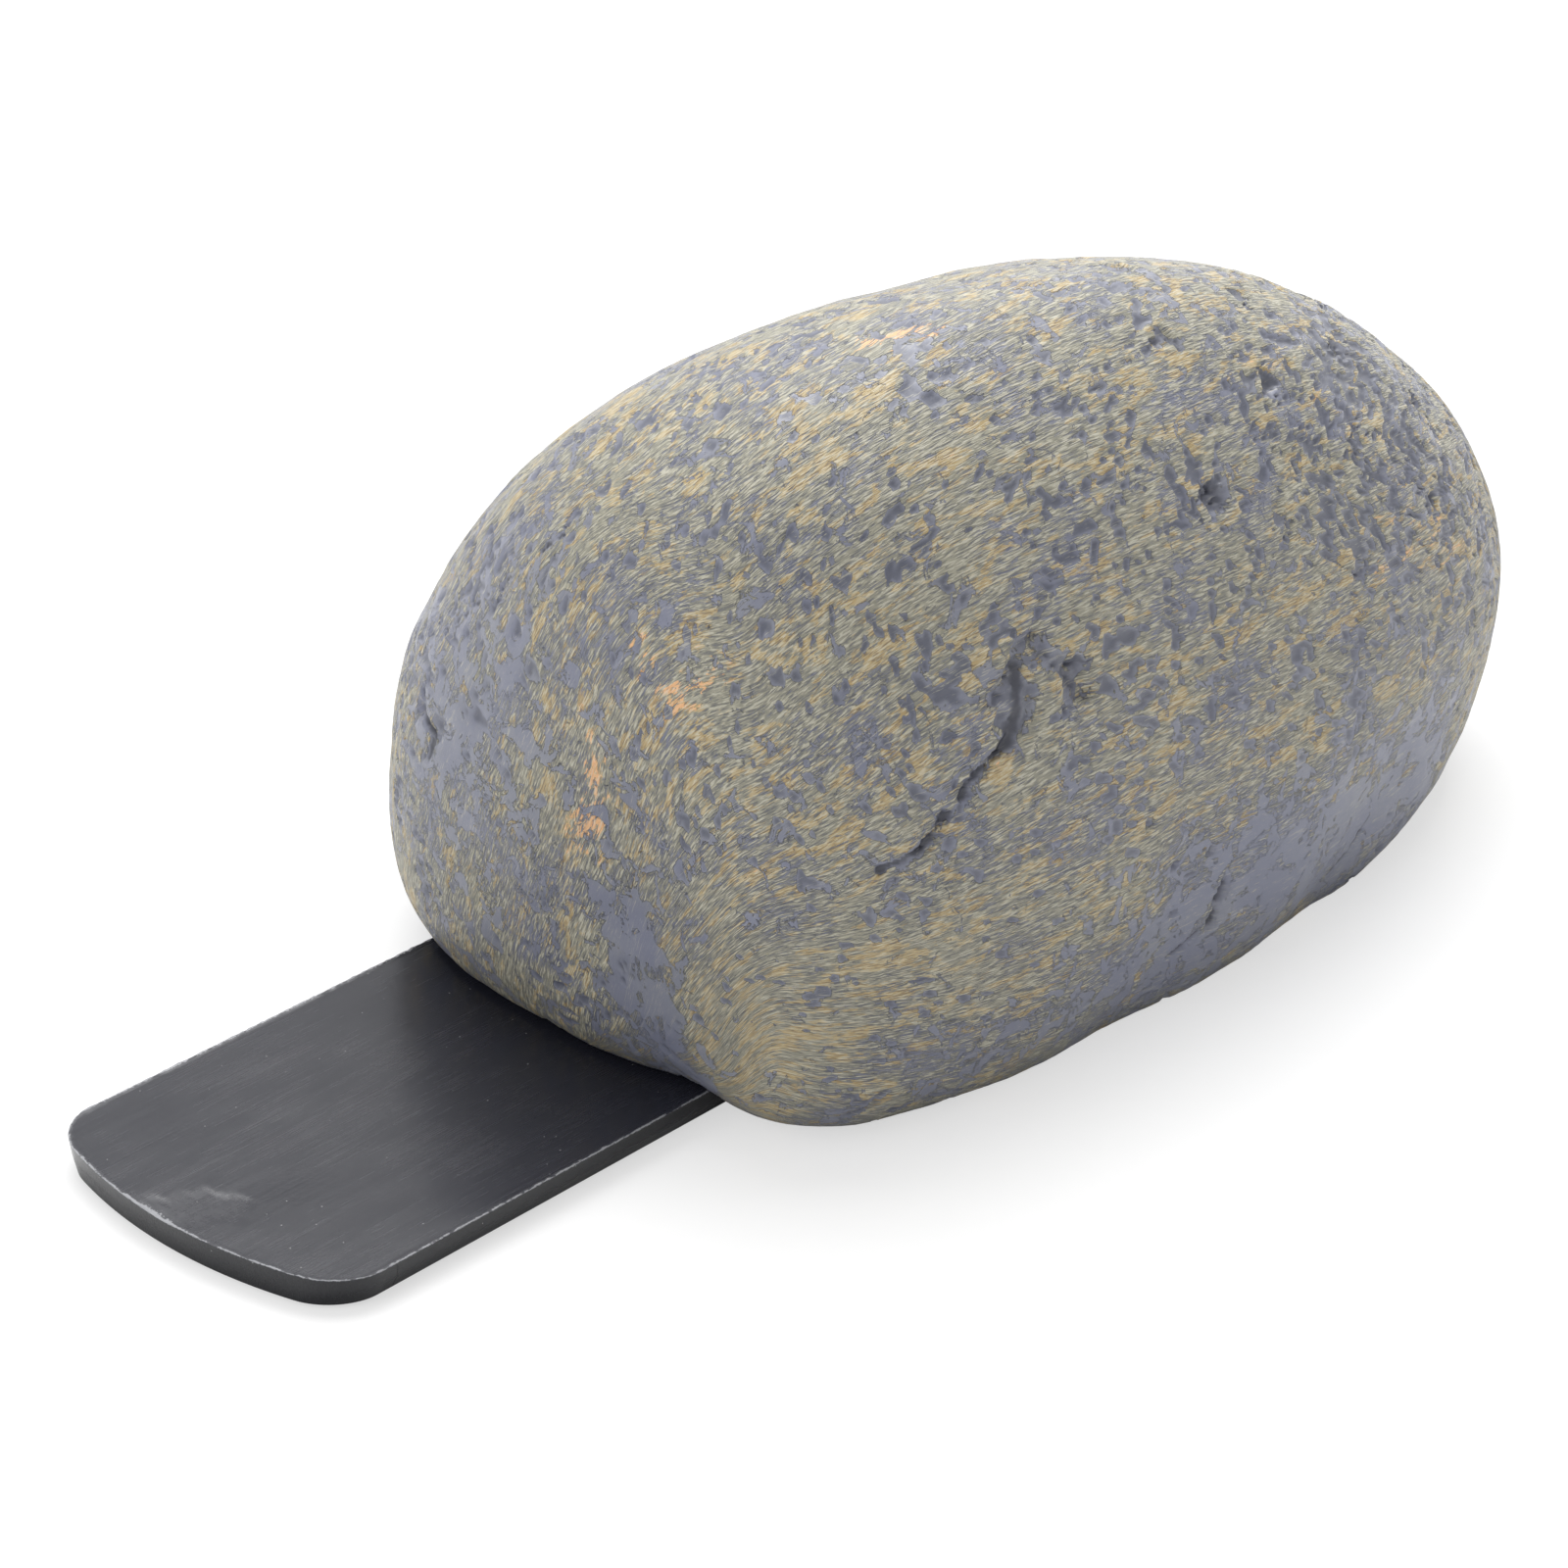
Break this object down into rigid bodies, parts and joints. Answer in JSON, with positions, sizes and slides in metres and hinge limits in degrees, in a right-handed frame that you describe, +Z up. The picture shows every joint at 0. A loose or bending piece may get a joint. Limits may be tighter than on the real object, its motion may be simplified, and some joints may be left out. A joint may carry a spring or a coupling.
{
  "type": "key hider rock",
  "caption": "Cast resin pebble with a hidden key pocket in its flat underside, closed by a flat cover that slides out of the nose.",
  "frame": {"origin": "on the flat underside of the pebble, on the cover's centre line at the middle of the underside", "axes": "+Z up, +X along the pebble from its blunt nose to its tail, the cover slides out towards -X, +Y to the far side"},
  "size_m": [0.1274, 0.0628, 0.0522],
  "materials": {
    "painted_resin": "slate grey base coat, dry brushed with olive and ochre",
    "black_plastic": "moulded, fine sanding streaks"
  },
  "bodies": {
    "stone": {"stone_body": "painted_resin", "key_box": "black_plastic"},
    "cover": {"slide_cover": "black_plastic"}
  },
  "joints": [
    {"name": "cover_slide", "type": "slide", "parent": "stone", "child": "cover", "axis": [-1, 0, 0], "range_m": [-0.0352, 0.028]}
  ]
}
